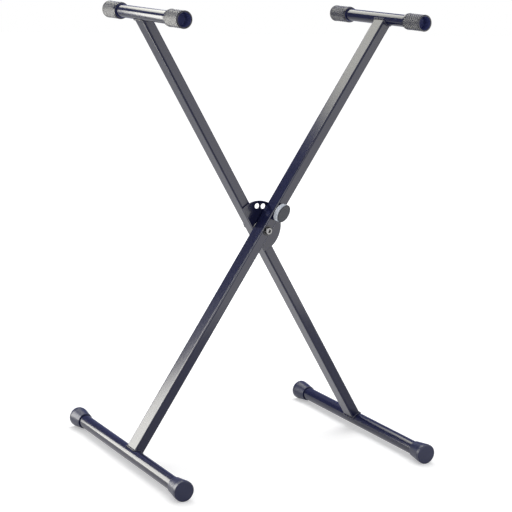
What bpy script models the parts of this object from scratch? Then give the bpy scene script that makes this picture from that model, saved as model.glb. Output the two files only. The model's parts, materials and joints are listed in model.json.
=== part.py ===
# X-style keyboard stand: two crossed steel legs on a pivot bolt, held open by a round lock plate
# and a spring-loaded pull pin. Metres, +Z up, +X across the spread, -Y towards the knob.
# The origin lies on the floor, straight below the pivot.
import math

import bmesh
import bpy
import numpy
from mathutils import Matrix, Vector

# Legs
LEG_WIDTH = 0.020
LEG_DEPTH = 0.036
LEG_WALL = 0.0012
LEG_CORNER = 0.003
LEG_ANGLE = math.radians(32.1)
PIVOT_TO_TOP = 0.486
PIVOT_TO_FOOT = 0.506
BEAD_RADIUS = 0.0019
BEAD_OFFSET = 0.0008

# Cross bars and their caps
TOP_BAR_RADIUS = 0.012
FOOT_BAR_RADIUS = 0.0135
BAR_WALL = 0.0012
TOP_OVERALL = 0.315
FOOT_OVERALL = 0.484
GRIP_LENGTH = 0.055
GRIP_RADIUS = 0.0162
GRIP_BAND_RADIUS = 0.0156
GRIP_BAND_LENGTH = 0.004
GRIP_CUP_RADIUS = 0.0121
GRIP_CUP_DEPTH = 0.020
GRIP_END_WALL = 0.004
FOOT_CAP_LENGTH = 0.038
FOOT_CAP_INNER_RADIUS = 0.0160
FOOT_CAP_OUTER_RADIUS = 0.0198
FOOT_CAP_RIM_LENGTH = 0.008
FOOT_CAP_END_WALL = 0.005
CAP_EDGE = 0.0012

# Pivot
PIVOT_BOLT_RADIUS = 0.004
HEX_RADIUS = 0.0075
BOLT_HEAD_HEIGHT = 0.0053
NUT_HEIGHT = 0.0080
BOLT_TIP = 0.0015
WASHER_RADIUS = 0.0098
WASHER_THICKNESS = 0.0016
BUSH_RADIUS = 0.0060
FRICTION_WASHER_THICKNESS = 0.0008

# Lock plate and its holes
PLATE_RADIUS = 0.0527
PLATE_THICKNESS = 0.003
HOLE_RADIUS = 0.0055
HOLE_CIRCLE = 0.0425
HOLE_STEP = math.radians(18.5)
HOLE_COUNT = 5
HOLE_IN_USE = 2

# Lock pin, its housing, spring and knob
PIN_NOSE_LENGTH = 0.012
PIN_NOSE_CHAMFER = 0.0012
PIN_SHANK_RADIUS = 0.0026
HOUSING_RADIUS = 0.0078
HOUSING_END_WALL = 0.004
FLANGE_RADIUS = 0.0095
FLANGE_THICKNESS = 0.003
KNOB_HALF_LENGTH = 0.0184
KNOB_HALF_WIDTH = 0.0113
KNOB_LENGTH = 0.0169
KNOB_STANDOFF = 0.006
KNOB_WALL = 0.0028
KNOB_RECESS_DEPTH = 0.006
KNOB_RIB_DEPTH = 0.0006
KNOB_EDGE = 0.0012
KNOB_FRONT_WALL = 0.004
KNOB_RIBS = 36
SPRING_WIRE = 0.0005
SPRING_TURNS = 7

# Clearance between pieces that touch on the real stand
GAP = 0.0003

# Facets
SIDES = 24
HOLE_SIDES = 20
PLATE_ARC_STEPS = 56
COIL_STEPS = 12
RECESS_SIDES = 40
EDGE_SEGMENTS = 2
EDGE_ANGLE = math.radians(75)
SHADING_ANGLE = math.radians(30)
MERGE_DISTANCE = 0.000005

# Places that follow from the sizes above
pivot_height = PIVOT_TO_FOOT * math.cos(LEG_ANGLE) + FOOT_CAP_OUTER_RADIUS
pin_bore = HOLE_RADIUS
pin_nose_radius = HOLE_RADIUS - GAP
bolt_bore = PIVOT_BOLT_RADIUS + GAP
between_legs = PLATE_THICKNESS + FRICTION_WASHER_THICKNESS + 3 * GAP
leg_centre_y = (between_legs + LEG_DEPTH) / 2
leg_outer_y = between_legs / 2 + LEG_DEPTH
plate_back_y = between_legs / 2 - GAP
plate_front_y = plate_back_y - PLATE_THICKNESS


def clear_scene():
    for item in list(bpy.data.objects):
        bpy.data.objects.remove(item, do_unlink=True)


def collection(name):
    made = bpy.data.collections.new(name)
    bpy.context.scene.collection.children.link(made)
    return made


def finish(name, colour, roughness, metallic):
    """A plain material with the piece's colour."""
    made = bpy.data.materials.new(name)
    made.use_nodes = True
    shader = made.node_tree.nodes["Principled BSDF"]
    shader.inputs["Base Color"].default_value = (*colour, 1.0)
    shader.inputs["Roughness"].default_value = roughness
    shader.inputs["Metallic"].default_value = metallic
    return made


def place(name, mesh, material, parent, location, turn_y=0.0):
    """A named object with its own material, in the frame of its parent."""
    made = bpy.data.objects.new(name, mesh)
    parts.objects.link(made)
    mesh.materials.clear()
    mesh.materials.append(material)
    made.parent = parent
    made.location = location
    made.rotation_euler = (0.0, turn_y, 0.0)
    mesh.shade_smooth()
    mesh.set_sharp_from_angle(angle=SHADING_ANGLE)
    return made


def tool(name, mesh, parent, location, turn_y=0.0):
    """A shape that only cuts or joins another."""
    made = bpy.data.objects.new(name, mesh)
    cutters.objects.link(made)
    made.parent = parent
    made.location = location
    made.rotation_euler = (0.0, turn_y, 0.0)
    made.hide_render = True
    made.display_type = "WIRE"
    return made


def boolean(target, other, operation):
    step = target.modifiers.new(other.name, "BOOLEAN")
    step.operation = operation
    step.solver = "EXACT"
    step.object = other


def evaluated_mesh(made):
    """The object's evaluated shape as a closed mesh with its faces out; the object is removed."""
    bpy.context.view_layer.update()
    graph = bpy.context.evaluated_depsgraph_get()
    mesh = bpy.data.meshes.new_from_object(made.evaluated_get(graph))
    bpy.data.objects.remove(made, do_unlink=True)
    work = bmesh.new()
    work.from_mesh(mesh)
    bmesh.ops.remove_doubles(work, verts=work.verts, dist=MERGE_DISTANCE)
    bmesh.ops.recalc_face_normals(work, faces=work.faces)
    work.to_mesh(mesh)
    work.free()
    return mesh


def turned(profile, sides, outward, closed=True):
    """A profile of (distance along the axis, radius to the flats) turned about Y.

    outward is -1 where the distances run towards -Y and 1 where they run towards +Y.
    """
    to_corner = 1 / math.cos(math.pi / sides)
    mesh = bpy.data.meshes.new("profile")
    points = [(radius * to_corner, 0.0, along) for along, radius in reversed(profile)]
    edges = [(i, i + 1) for i in range(len(points) - 1)]
    if closed:
        edges.append((len(points) - 1, 0))
    mesh.from_pydata(points, edges, [])
    made = bpy.data.objects.new("profile", mesh)
    bpy.context.scene.collection.objects.link(made)
    screw = made.modifiers.new("turn", "SCREW")
    screw.axis = "Z"
    screw.steps = sides
    screw.render_steps = sides
    screw.use_merge_vertices = True
    screw.merge_threshold = MERGE_DISTANCE
    solid = evaluated_mesh(made)
    bpy.data.meshes.remove(mesh)
    half_step = Matrix.Rotation(math.pi / sides, 4, "Z")
    lay_down = Matrix.Rotation(-outward * math.pi / 2, 4, "X")
    solid.transform(lay_down @ half_step)
    return solid


def ring(inner, outer, length, sides=SIDES):
    """A plain sleeve or washer, centred on its length."""
    half = length / 2
    return turned([(-half, inner), (-half, outer), (half, outer), (half, inner)], sides, -1)


def rod(radius, length, sides=SIDES):
    """A plain round bar, centred on its length."""
    half = length / 2
    return turned([(-half, 0.0), (-half, radius), (half, radius), (half, 0.0)], sides, -1, closed=False)


def outline_solid(loops, thickness):
    """Flat outlines in X and Z, the first one round the others, as a plate centred on y = 0."""
    curve = bpy.data.curves.new("outline", "CURVE")
    curve.dimensions = "2D"
    curve.fill_mode = "BOTH"
    curve.extrude = thickness / 2
    for loop in loops:
        spline = curve.splines.new("POLY")
        spline.points.add(len(loop) - 1)
        for point, (x, z) in zip(spline.points, loop):
            point.co = (x, z, 0.0, 1.0)
        spline.use_cyclic_u = True
    made = bpy.data.objects.new("outline", curve)
    bpy.context.scene.collection.objects.link(made)
    solid = evaluated_mesh(made)
    bpy.data.curves.remove(curve)
    solid.transform(Matrix.Rotation(math.pi / 2, 4, "X"))
    return solid


def bevelled(mesh, width):
    """The mesh with its square edges rounded; edges flatter than EDGE_ANGLE stay as they are."""
    made = bpy.data.objects.new("bevelled", mesh)
    bpy.context.scene.collection.objects.link(made)
    bevel = made.modifiers.new("edge", "BEVEL")
    bevel.width = width
    bevel.segments = EDGE_SEGMENTS
    bevel.limit_method = "ANGLE"
    bevel.angle_limit = EDGE_ANGLE
    bevel.use_clamp_overlap = False
    solid = evaluated_mesh(made)
    bpy.data.meshes.remove(mesh)
    return solid


def wire_solid(points, radius, cyclic):
    """A round wire through points."""
    curve = bpy.data.curves.new("wire", "CURVE")
    curve.dimensions = "3D"
    curve.bevel_depth = radius
    curve.bevel_resolution = 2
    curve.use_fill_caps = not cyclic
    spline = curve.splines.new("POLY")
    spline.points.add(len(points) - 1)
    for point, place_of in zip(spline.points, points):
        point.co = (*place_of, 1.0)
    spline.use_cyclic_u = cyclic
    made = bpy.data.objects.new("wire", curve)
    bpy.context.scene.collection.objects.link(made)
    solid = evaluated_mesh(made)
    bpy.data.curves.remove(curve)
    return solid


def circle(radius, sides, centre=(0.0, 0.0)):
    step = 2 * math.pi / sides
    return [
        (centre[0] + radius * math.sin(i * step), centre[1] + radius * math.cos(i * step))
        for i in range(sides)
    ]


def oval(half_width, half_length, count, rib_depth=0.0):
    """Points evenly spaced round an oval; with a rib depth, every second one is set in by it."""
    step = 2 * math.pi / (20 * count)
    angles = [i * step for i in range(20 * count + 1)]
    lengths = [0.0]
    for angle in angles[:-1]:
        middle = angle + step / 2
        speed = math.hypot(half_width * math.cos(middle), half_length * math.sin(middle))
        lengths.append(lengths[-1] + speed * step)
    points = []
    for i in range(count):
        angle = numpy.interp(lengths[-1] * i / count, lengths, angles)
        point = Vector((half_width * math.sin(angle), half_length * math.cos(angle)))
        normal = Vector((point.x / half_width**2, point.y / half_length**2)).normalized()
        points.append(tuple(point - normal * rib_depth * (i % 2)))
    return points


def rounded_rectangle(width, depth, corner, steps=3):
    """The outline of a rectangular tube, corner by corner."""
    points = []
    for quarter, (side_x, side_y) in enumerate(((1, 1), (-1, 1), (-1, -1), (1, -1))):
        centre = (side_x * (width / 2 - corner), side_y * (depth / 2 - corner))
        for i in range(steps + 1):
            angle = (quarter + i / steps) * math.pi / 2
            points.append((centre[0] + corner * math.cos(angle), centre[1] + corner * math.sin(angle)))
    return points


def rectangular_tube(low, high):
    """The leg's hollow section, standing from low to high."""
    outer = rounded_rectangle(LEG_WIDTH, LEG_DEPTH, LEG_CORNER)
    inner = rounded_rectangle(
        LEG_WIDTH - 2 * LEG_WALL, LEG_DEPTH - 2 * LEG_WALL, LEG_CORNER - LEG_WALL
    )
    solid = outline_solid([outer, inner], high - low)
    solid.transform(Matrix.Rotation(-math.pi / 2, 4, "X"))
    solid.transform(Matrix.Translation((0.0, 0.0, (high + low) / 2)))
    return solid


def weld_bead(bar_radius, bar_at, side):
    """The bead round a leg's end, where the leg's outline meets the round bar."""
    reach = bar_radius + BEAD_OFFSET
    around = rounded_rectangle(
        LEG_WIDTH + 2 * BEAD_OFFSET, LEG_DEPTH + 2 * BEAD_OFFSET, LEG_CORNER + BEAD_OFFSET
    )
    points = [(x, y, bar_at - side * math.sqrt(reach**2 - x**2)) for x, y in with_midpoints(around)]
    return wire_solid(points, BEAD_RADIUS, cyclic=True)


def with_midpoints(loop, longest=0.005):
    """The loop with its long sides divided, so that it can follow a round bar."""
    points = []
    for start, end in zip(loop, loop[1:] + loop[:1]):
        length = math.dist(start, end)
        count = max(1, math.ceil(length / longest))
        for i in range(count):
            share = i / count
            points.append((start[0] + (end[0] - start[0]) * share, start[1] + (end[1] - start[1]) * share))
    return points


def make_leg(name, frame, centre_y, pin_hole):
    """A leg, coped to its two bars and welded to them, with its cross holes."""
    level = -frame.rotation_euler.y
    through = 2 * LEG_DEPTH
    centre = (0.0, centre_y, 0.0)
    leg = place(name, rectangular_tube(-PIVOT_TO_FOOT, PIVOT_TO_TOP), black_paint, frame, centre)
    for end, radius, at, side in (
        ("top", TOP_BAR_RADIUS, PIVOT_TO_TOP, 1),
        ("foot", FOOT_BAR_RADIUS, -PIVOT_TO_FOOT, -1),
    ):
        bead = tool(f"{name}_{end}_bead", weld_bead(radius, at, side), frame, centre)
        boolean(leg, bead, "UNION")
        cope = tool(f"{name}_{end}_cope", rod(radius + GAP, through), frame, (0.0, centre_y, at), level)
        boolean(leg, cope, "DIFFERENCE")
    pivot_hole = tool(f"{name}_pivot_hole", rod(BUSH_RADIUS + GAP, through), frame, centre)
    boolean(leg, pivot_hole, "DIFFERENCE")
    if pin_hole:
        housing_hole = rod(HOUSING_RADIUS + GAP, through)
        cutter = tool(f"{name}_pin_hole", housing_hole, frame, (0.0, centre_y, HOLE_CIRCLE))
        boolean(leg, cutter, "DIFFERENCE")
    return leg


def make_bar(name, frame, radius, length, at):
    tube = ring(radius - BAR_WALL, radius, length)
    return place(name, tube, black_paint, frame, (0.0, 0.0, at), -frame.rotation_euler.y)


def grip_cap_mesh(outward):
    """A rubber sleeve with a smooth band at its inner end and a deep cup in its outer end."""
    bore = TOP_BAR_RADIUS + GAP
    wall = GRIP_LENGTH - GRIP_CUP_DEPTH
    profile = [
        (0.0, bore),
        (0.0, GRIP_BAND_RADIUS - CAP_EDGE),
        (CAP_EDGE, GRIP_BAND_RADIUS),
        (GRIP_BAND_LENGTH, GRIP_BAND_RADIUS),
        (GRIP_BAND_LENGTH, GRIP_RADIUS),
        (GRIP_LENGTH - CAP_EDGE, GRIP_RADIUS),
        (GRIP_LENGTH, GRIP_RADIUS - CAP_EDGE),
        (GRIP_LENGTH, GRIP_CUP_RADIUS + CAP_EDGE / 2),
        (GRIP_LENGTH - CAP_EDGE / 2, GRIP_CUP_RADIUS),
        (wall, GRIP_CUP_RADIUS - CAP_EDGE / 2),
        (wall, 0.0),
        (wall - GRIP_END_WALL, 0.0),
        (wall - GRIP_END_WALL, bore),
    ]
    return turned(profile, SIDES, outward)


def foot_cap_mesh(outward):
    """A rubber foot that flares from the bar to a flat round end."""
    bore = FOOT_BAR_RADIUS + GAP
    rim = FOOT_CAP_LENGTH - FOOT_CAP_RIM_LENGTH
    wall = FOOT_CAP_LENGTH - FOOT_CAP_END_WALL
    profile = [
        (0.0, bore),
        (0.0, FOOT_CAP_INNER_RADIUS - CAP_EDGE / 2),
        (CAP_EDGE / 2, FOOT_CAP_INNER_RADIUS),
        (rim, FOOT_CAP_OUTER_RADIUS - CAP_EDGE / 2),
        (rim + CAP_EDGE / 2, FOOT_CAP_OUTER_RADIUS),
        (FOOT_CAP_LENGTH - CAP_EDGE, FOOT_CAP_OUTER_RADIUS),
        (FOOT_CAP_LENGTH, FOOT_CAP_OUTER_RADIUS - CAP_EDGE),
        (FOOT_CAP_LENGTH, 0.0),
        (wall, 0.0),
        (wall, bore),
    ]
    return turned(profile, SIDES, outward)


def make_grip_caps(prefix, frame):
    """The sleeves of a top bar, near (-Y) and far (+Y)."""
    level = -frame.rotation_euler.y
    for word, outward in (("near", -1), ("far", 1)):
        start = (0.0, outward * (TOP_OVERALL / 2 - GRIP_LENGTH), PIVOT_TO_TOP)
        place(f"{prefix}_grip_cap_{word}", grip_cap_mesh(outward), grip_rubber, frame, start, level)


def make_foot_caps(prefix, frame):
    """The feet of a foot bar, near (-Y) and far (+Y)."""
    level = -frame.rotation_euler.y
    for word, outward in (("near", -1), ("far", 1)):
        start = (0.0, outward * (FOOT_OVERALL / 2 - FOOT_CAP_LENGTH), -PIVOT_TO_FOOT)
        place(f"{prefix}_foot_cap_{word}", foot_cap_mesh(outward), foot_rubber, frame, start, level)


def make_frame(prefix, frame, leg_y, pin_hole):
    """A leg with its two bars and their four caps."""
    make_leg(f"{prefix}_leg", frame, leg_y, pin_hole)
    top_length = TOP_OVERALL - 2 * (GRIP_CUP_DEPTH + GRIP_END_WALL + GAP)
    foot_length = FOOT_OVERALL - 2 * (FOOT_CAP_END_WALL + GAP)
    make_bar(f"{prefix}_top_bar", frame, TOP_BAR_RADIUS, top_length, PIVOT_TO_TOP)
    make_bar(f"{prefix}_foot_bar", frame, FOOT_BAR_RADIUS, foot_length, -PIVOT_TO_FOOT)
    make_grip_caps(prefix, frame)
    make_foot_caps(prefix, frame)


def make_lock_plate(frame):
    """A disc about the pivot, cut flush along the rear leg's outer edge, with its arc of holes."""
    edge = -LEG_WIDTH / 2
    top_angle = math.acos(edge / PLATE_RADIUS)
    outline = []
    for i in range(PLATE_ARC_STEPS + 1):
        angle = top_angle - 2 * top_angle * i / PLATE_ARC_STEPS
        outline.append((PLATE_RADIUS * math.cos(angle), PLATE_RADIUS * math.sin(angle)))
    loops = [outline, circle(bolt_bore, HOLE_SIDES)]
    for number in range(HOLE_COUNT):
        angle = 2 * LEG_ANGLE + (number - HOLE_IN_USE) * HOLE_STEP
        centre = (HOLE_CIRCLE * math.sin(angle), HOLE_CIRCLE * math.cos(angle))
        loops.append(circle(HOLE_RADIUS, HOLE_SIDES, centre))
    centre_y = (plate_front_y + plate_back_y) / 2
    place("lock_plate", outline_solid(loops, PLATE_THICKNESS), black_paint, frame, (0.0, centre_y, 0.0))


def make_pivot(rear, front):
    """Bolt, bushes, washers and nut on the pivot's axis."""
    for name, frame, side in (("rear_pivot_bush", rear, 1), ("front_pivot_bush", front, -1)):
        bush = ring(bolt_bore, BUSH_RADIUS, LEG_DEPTH)
        place(name, bush, plain_steel, frame, (0.0, side * leg_centre_y, 0.0))
    friction_y = plate_front_y - GAP - FRICTION_WASHER_THICKNESS / 2
    friction = ring(bolt_bore, WASHER_RADIUS, FRICTION_WASHER_THICKNESS)
    place("friction_washer", friction, nylon, rear, (0.0, friction_y, 0.0))
    washer_y = leg_outer_y + GAP + WASHER_THICKNESS / 2
    for name, side in (("pivot_bolt_washer", -1), ("pivot_nut_washer", 1)):
        washer = ring(bolt_bore, WASHER_RADIUS, WASHER_THICKNESS)
        place(name, washer, black_zinc, rear, (0.0, side * washer_y, 0.0))
    seat_y = leg_outer_y + WASHER_THICKNESS + 2 * GAP
    make_bolt(rear, seat_y)
    make_nut(rear, seat_y)


def hexagon(height):
    """The profile of a hexagonal head, chamfered at its outer end."""
    flats = HEX_RADIUS * math.cos(math.pi / 6)
    chamfer = HEX_RADIUS - flats
    return [
        (0.0, 0.0),
        (0.0, flats),
        (height - chamfer, flats),
        (height, flats - chamfer),
        (height, 0.0),
    ]


def make_bolt(frame, seat_y):
    """A hexagon bolt whose head lies on the -Y side."""
    tip_y = seat_y + NUT_HEIGHT + BOLT_TIP
    head = turned(hexagon(BOLT_HEAD_HEIGHT), 6, -1, closed=False)
    bolt = place("pivot_bolt", head, black_zinc, frame, (0.0, -seat_y, 0.0))
    profile = [
        (-BOLT_HEAD_HEIGHT / 2, 0.0),
        (-BOLT_HEAD_HEIGHT / 2, PIVOT_BOLT_RADIUS),
        (seat_y + tip_y - BOLT_TIP / 2, PIVOT_BOLT_RADIUS),
        (seat_y + tip_y, PIVOT_BOLT_RADIUS - BOLT_TIP / 2),
        (seat_y + tip_y, 0.0),
    ]
    shank = tool("pivot_bolt_shank", turned(profile, HOLE_SIDES, 1, closed=False), frame, (0.0, -seat_y, 0.0))
    boolean(bolt, shank, "UNION")


def make_nut(frame, seat_y):
    """A hexagon nut, tall enough to lock, with a plain bore for the bolt."""
    blank = turned(hexagon(NUT_HEIGHT), 6, 1, closed=False)
    nut = place("pivot_nut", blank, black_zinc, frame, (0.0, seat_y, 0.0))
    bore = tool("pivot_nut_bore", rod(bolt_bore, NUT_HEIGHT * 3, HOLE_SIDES), frame, (0.0, seat_y, 0.0))
    boolean(nut, bore, "DIFFERENCE")


def make_housing(front):
    """A flanged sleeve through the front leg; its end wall guides the pin's shank."""
    length = LEG_DEPTH
    floor = length - HOUSING_END_WALL
    shank_bore = PIN_SHANK_RADIUS + GAP
    profile = [
        (0.0, pin_bore),
        (0.0, HOUSING_RADIUS),
        (length + GAP, HOUSING_RADIUS),
        (length + GAP, FLANGE_RADIUS),
        (length + GAP + FLANGE_THICKNESS, FLANGE_RADIUS),
        (length + GAP + FLANGE_THICKNESS, shank_bore),
        (floor, shank_bore),
        (floor, pin_bore),
    ]
    inner_face = -between_legs / 2
    place("pin_housing", turned(profile, SIDES, -1), black_zinc, front, (0.0, inner_face, HOLE_CIRCLE))


def make_pin(pin_frame):
    """The stepped pin, from the nose by the lock plate to the end inside the knob."""
    nose_y = plate_front_y - GAP
    knob_back_y = -leg_outer_y - KNOB_STANDOFF
    end = nose_y - (knob_back_y - KNOB_LENGTH + KNOB_FRONT_WALL) - GAP
    profile = [
        (0.0, 0.0),
        (0.0, pin_nose_radius - PIN_NOSE_CHAMFER),
        (PIN_NOSE_CHAMFER, pin_nose_radius),
        (PIN_NOSE_LENGTH, pin_nose_radius),
        (PIN_NOSE_LENGTH, PIN_SHANK_RADIUS),
        (end, PIN_SHANK_RADIUS),
        (end, 0.0),
    ]
    place("lock_pin", turned(profile, SIDES, -1, closed=False), plain_steel, pin_frame, (0.0, nose_y, 0.0))
    make_knob(pin_frame, knob_back_y)
    make_spring(pin_frame, nose_y)


def make_knob(pin_frame, back_y):
    """An oval knob, longest along the leg, with a ribbed rim, a hollow back and a blind bore."""
    rim = oval(KNOB_HALF_WIDTH, KNOB_HALF_LENGTH, 2 * KNOB_RIBS, KNOB_RIB_DEPTH)
    body = bevelled(outline_solid([rim], KNOB_LENGTH), KNOB_EDGE)
    centre = (0.0, back_y - KNOB_LENGTH / 2, 0.0)
    knob = place("pull_knob", body, knob_plastic, pin_frame, centre)
    back = (0.0, back_y, 0.0)
    hollow = oval(KNOB_HALF_WIDTH - KNOB_WALL, KNOB_HALF_LENGTH - KNOB_WALL, RECESS_SIDES)
    recess = tool("pull_knob_recess", outline_solid([hollow], 2 * KNOB_RECESS_DEPTH), pin_frame, back)
    boolean(knob, recess, "DIFFERENCE")
    floor = KNOB_LENGTH - KNOB_FRONT_WALL
    bore = tool("pull_knob_bore", rod(PIN_SHANK_RADIUS + GAP, 2 * floor), pin_frame, back)
    boolean(knob, bore, "DIFFERENCE")


def make_spring(pin_frame, nose_y):
    """A coil spring between the nose's shoulder and the housing's end wall."""
    start_y = nose_y - PIN_NOSE_LENGTH - GAP - SPRING_WIRE
    end_y = -(leg_outer_y - HOUSING_END_WALL - GAP - SPRING_WIRE)
    coil_radius = (PIN_SHANK_RADIUS + pin_bore) / 2
    steps = SPRING_TURNS * COIL_STEPS
    points = []
    for i in range(steps + 1):
        angle = 2 * math.pi * i / COIL_STEPS
        along = start_y + (end_y - start_y) * i / steps
        points.append((coil_radius * math.cos(angle), along, coil_radius * math.sin(angle)))
    coil = wire_solid(points, SPRING_WIRE, cyclic=False)
    place("pin_spring", coil, plain_steel, pin_frame, (0.0, 0.0, 0.0))


def make_empty(name, location, turn_y, parent=None):
    made = bpy.data.objects.new(name, None)
    parts.objects.link(made)
    made.location = location
    made.rotation_euler = (0.0, turn_y, 0.0)
    made.parent = parent
    return made


clear_scene()
parts = collection("keyboard_stand")
cutters = collection("cutters")
black_paint = finish("black_paint", (0.022, 0.023, 0.030), 0.25, 0.0)
grip_rubber = finish("grip_rubber", (0.030, 0.031, 0.034), 0.75, 0.0)
foot_rubber = finish("foot_rubber", (0.026, 0.027, 0.030), 0.55, 0.0)
knob_plastic = finish("knob_plastic", (0.075, 0.080, 0.088), 0.45, 0.0)
black_zinc = finish("black_zinc", (0.024, 0.025, 0.030), 0.22, 0.0)
plain_steel = finish("plain_steel", (0.55, 0.56, 0.57), 0.35, 1.0)
nylon = finish("nylon", (0.60, 0.60, 0.58), 0.50, 0.0)

pivot = Vector((0.0, 0.0, pivot_height))
rear_frame = make_empty("rear_frame_pivot", pivot, -LEG_ANGLE)
front_frame = make_empty("front_frame_pivot", pivot, LEG_ANGLE)
lock_frame = make_empty("lock_pin_axis", (0.0, 0.0, HOLE_CIRCLE), 0.0, front_frame)
make_frame("rear", rear_frame, leg_centre_y, pin_hole=False)
make_frame("front", front_frame, -leg_centre_y, pin_hole=True)
make_lock_plate(rear_frame)
make_pivot(rear_frame, front_frame)
make_housing(front_frame)
make_pin(lock_frame)
bpy.context.view_layer.update()
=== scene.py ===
import json
import math

import bmesh
import bpy
from mathutils import Matrix, Vector


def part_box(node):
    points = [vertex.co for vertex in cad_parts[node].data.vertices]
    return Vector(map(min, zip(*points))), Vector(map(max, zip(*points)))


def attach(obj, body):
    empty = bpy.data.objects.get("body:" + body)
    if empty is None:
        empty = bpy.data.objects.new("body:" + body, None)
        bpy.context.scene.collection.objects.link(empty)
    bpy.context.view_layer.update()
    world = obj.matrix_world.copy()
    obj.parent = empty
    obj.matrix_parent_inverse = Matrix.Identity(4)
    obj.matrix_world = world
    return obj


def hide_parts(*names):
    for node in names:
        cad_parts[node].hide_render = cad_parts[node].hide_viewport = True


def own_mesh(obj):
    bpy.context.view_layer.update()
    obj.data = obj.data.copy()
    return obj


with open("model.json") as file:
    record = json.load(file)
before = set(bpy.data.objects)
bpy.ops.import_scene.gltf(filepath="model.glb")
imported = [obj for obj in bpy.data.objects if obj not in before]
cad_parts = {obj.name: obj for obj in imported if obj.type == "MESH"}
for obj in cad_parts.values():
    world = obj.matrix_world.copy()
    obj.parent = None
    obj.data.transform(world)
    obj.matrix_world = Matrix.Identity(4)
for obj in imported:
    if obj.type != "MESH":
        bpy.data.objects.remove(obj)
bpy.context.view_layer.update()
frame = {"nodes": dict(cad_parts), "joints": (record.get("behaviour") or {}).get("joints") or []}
print("stage: frame loaded")

nodes = frame["nodes"]
joints = {joint["name"]: joint for joint in frame["joints"]}
pivot = Vector(joints["fold"]["pos_m"])
nearEnd, farEnd = -1, 1    # the near end of a bar points to -Y, the far end to +Y
gap = 0.0003               # clearance between pieces that touch on the real stand


# sizes and places read from the frame

def middle(node):
    low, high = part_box(node)
    return (low + high) / 2


def half(node):
    low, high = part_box(node)
    return (high - low) / 2


# shader and geometry maths: a wrapped socket that turns an expression into Math nodes

class Wire:
    def __init__(self, board, socket):
        self.board = board
        self.socket = socket

    def do(self, operation, *values):
        return self.board.add("ShaderNodeMath", {"operation": operation}, dict(enumerate(values)))[0]

    def __add__(self, other):
        return self.do("ADD", self, other)

    def __radd__(self, other):
        return self.do("ADD", other, self)

    def __sub__(self, other):
        return self.do("SUBTRACT", self, other)

    def __rsub__(self, other):
        return self.do("SUBTRACT", other, self)

    def __mul__(self, other):
        return self.do("MULTIPLY", self, other)

    def __rmul__(self, other):
        return self.do("MULTIPLY", other, self)

    def __truediv__(self, other):
        return self.do("DIVIDE", self, other)

    def __rtruediv__(self, other):
        return self.do("DIVIDE", other, self)

    def __pow__(self, other):
        return self.do("POWER", self, other)

    def __abs__(self):
        return self.do("ABSOLUTE", self)

    def between(self, low, high):    # 1 inside the range, 0 outside
        return self.do("GREATER_THAN", self, low) * self.do("LESS_THAN", self, high)

    def clamped(self):
        return self.do("MINIMUM", self.do("MAXIMUM", self, 0.0), 1.0)


class Outputs:    # a node's outputs as wires, by number or name
    def __init__(self, board, node):
        self.board = board
        self.node = node

    def __getitem__(self, key):
        return Wire(self.board, self.node.outputs[key])


class Board:
    def __init__(self, tree):
        self.tree = tree

    def add(self, kind, settings=None, sockets=None):
        node = self.tree.nodes.new(kind)
        for name, value in (settings or {}).items():
            if name == "stops":
                setStops(node.color_ramp, value)
            else:
                setattr(node, name, value)
        for key, value in (sockets or {}).items():
            self.plug(node.inputs[key], value)
        return Outputs(self, node)

    def plug(self, socket, value):
        if isinstance(value, Wire):
            self.tree.links.new(value.socket, socket)
        else:
            socket.default_value = value


def setStops(ramp, stops):
    while len(ramp.elements) < len(stops):
        ramp.elements.new(1.0)
    for element, (place, shade) in zip(ramp.elements, stops):
        element.position = place
        element.color = (*shade, 1.0) if isinstance(shade, tuple) else (shade, shade, shade, 1.0)


# materials

def grainAt(board, place, scale, detail=2.0, rough=0.5):
    sockets = {"Vector": place, "Scale": scale, "Detail": detail, "Roughness": rough}
    return board.add("ShaderNodeTexNoise", {"noise_dimensions": "3D"}, sockets)["Fac"]


def blendColours(board, factor, *colours):
    first, second = (colour if isinstance(colour, Wire) else (*colour, 1.0) for colour in colours)
    return board.add("ShaderNodeMix", {"data_type": "RGBA"}, {0: factor, 6: first, 7: second})[2]


def surface(name, look, constants):
    material = bpy.data.materials.new(name)
    material.use_nodes = True
    board = Board(material.node_tree)
    shader = material.node_tree.nodes["Principled BSDF"]
    place = board.add("ShaderNodeTexCoord")["Object"]
    patches = grainAt(board, place, look["patchScale"], 4.0, 0.6)
    specks = grainAt(board, place, look["speckScale"], 2.0, 0.5)
    pores = grainAt(board, place, look["grainScale"], 2.0, 0.55)
    tone = (patches * 0.7 + specks * 0.3).clamped()
    colour = blendColours(board, tone, look["dark"], look["light"])
    # the attribute mixes in painted light: navy shade inside the grip cups, a pale highlight on the knob flank
    if "marked" in look:
        marked = board.add("ShaderNodeAttribute", {"attribute_name": "marked"})["Fac"]
        colour = blendColours(board, marked, colour, look["marked"])
    board.plug(shader.inputs["Base Color"], colour)
    roughness = look["rough"] + (patches - 0.5) * look["roughPatches"] + (specks - 0.5) * look["roughSpecks"]
    if "marked" in look:
        roughness = roughness + marked * look["markedRough"]
    board.plug(shader.inputs["Roughness"], roughness.clamped())
    bump = board.add(
        "ShaderNodeBump", None,
        {"Strength": look["bumpStrength"], "Distance": look["bumpDepth"], "Height": pores * 0.8 + specks * 0.2},
    )
    board.plug(shader.inputs["Normal"], bump["Normal"])
    for socket, value in constants.items():
        shader.inputs[socket].default_value = value
    return material


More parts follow.
